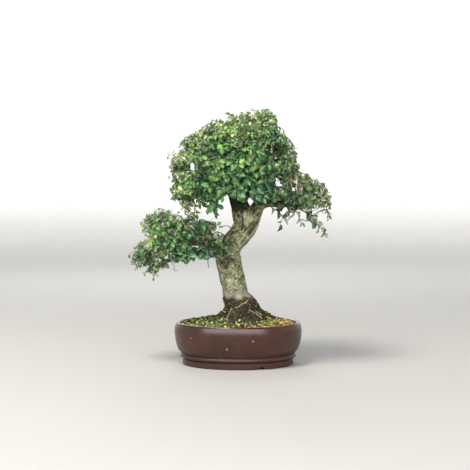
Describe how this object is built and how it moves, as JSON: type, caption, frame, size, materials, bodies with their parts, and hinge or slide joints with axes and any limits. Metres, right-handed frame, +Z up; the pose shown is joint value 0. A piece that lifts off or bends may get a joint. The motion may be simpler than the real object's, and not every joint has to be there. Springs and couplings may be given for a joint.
{
  "type": "cork oak bonsai",
  "caption": "Cork oak bonsai with a leaning corky trunk, a domed crown and a low left branch of toothed leaves, growing in an oval brown stoneware pot filled with gritty soil.",
  "frame": {"origin": "under the middle of the whole plant and pot, on the surface that the pot's foot ring stands on", "axes": "+Z up, +X to the right and +Y away from someone who faces the front of the tree"},
  "size_m": [0.4442, 0.2722, 0.5523],
  "materials": {
    "stoneware": "unglazed brown stoneware with a satin sheen",
    "mesh_plastic": "matt dark plastic mesh",
    "grit": "rough cream and golden grit over soil",
    "bark": "rough grey-green corky bark",
    "leaf": "slightly waxy living leaf"
  },
  "bodies": {
    "root": {"pot": "stoneware", "drain_collar_left": "stoneware", "drain_collar_right": "stoneware", "drain_mesh_left": "mesh_plastic", "drain_mesh_right": "mesh_plastic", "soil": "grit", "tree": "bark", "spray_apex_1": "leaf", "spray_apex_2": "leaf", "spray_apex_3": "leaf", "spray_apex_4": "leaf", "spray_apex_5": "leaf", "spray_apex_6": "leaf", "spray_right_crown_1": "leaf", "spray_right_crown_2": "leaf", "spray_right_crown_3": "leaf", "spray_right_crown_4": "leaf", "spray_left_crown_1": "leaf", "spray_left_crown_2": "leaf", "spray_left_crown_3": "leaf", "spray_left_crown_4": "leaf", "spray_left_crown_5": "leaf", "spray_left_crown_6": "leaf", "spray_left_crown_7": "leaf", "spray_front_crown_1": "leaf", "spray_front_crown_2": "leaf", "spray_front_crown_3": "leaf", "spray_back_crown_1": "leaf", "spray_back_crown_2": "leaf", "spray_right_low_1": "leaf", "spray_right_low_2": "leaf", "spray_right_low_3": "leaf", "spray_right_low_4": "leaf", "spray_left_low_1": "leaf", "spray_left_low_2": "leaf", "spray_left_low_3": "leaf", "spray_left_low_4": "leaf", "spray_left_low_5": "leaf", "spray_left_low_6": "leaf", "spray_left_low_7": "leaf", "spray_left_low_8": "leaf", "spray_left_low_9": "leaf", "spray_left_low_10": "leaf", "spray_left_low_11": "leaf"}
  },
  "joints": []
}
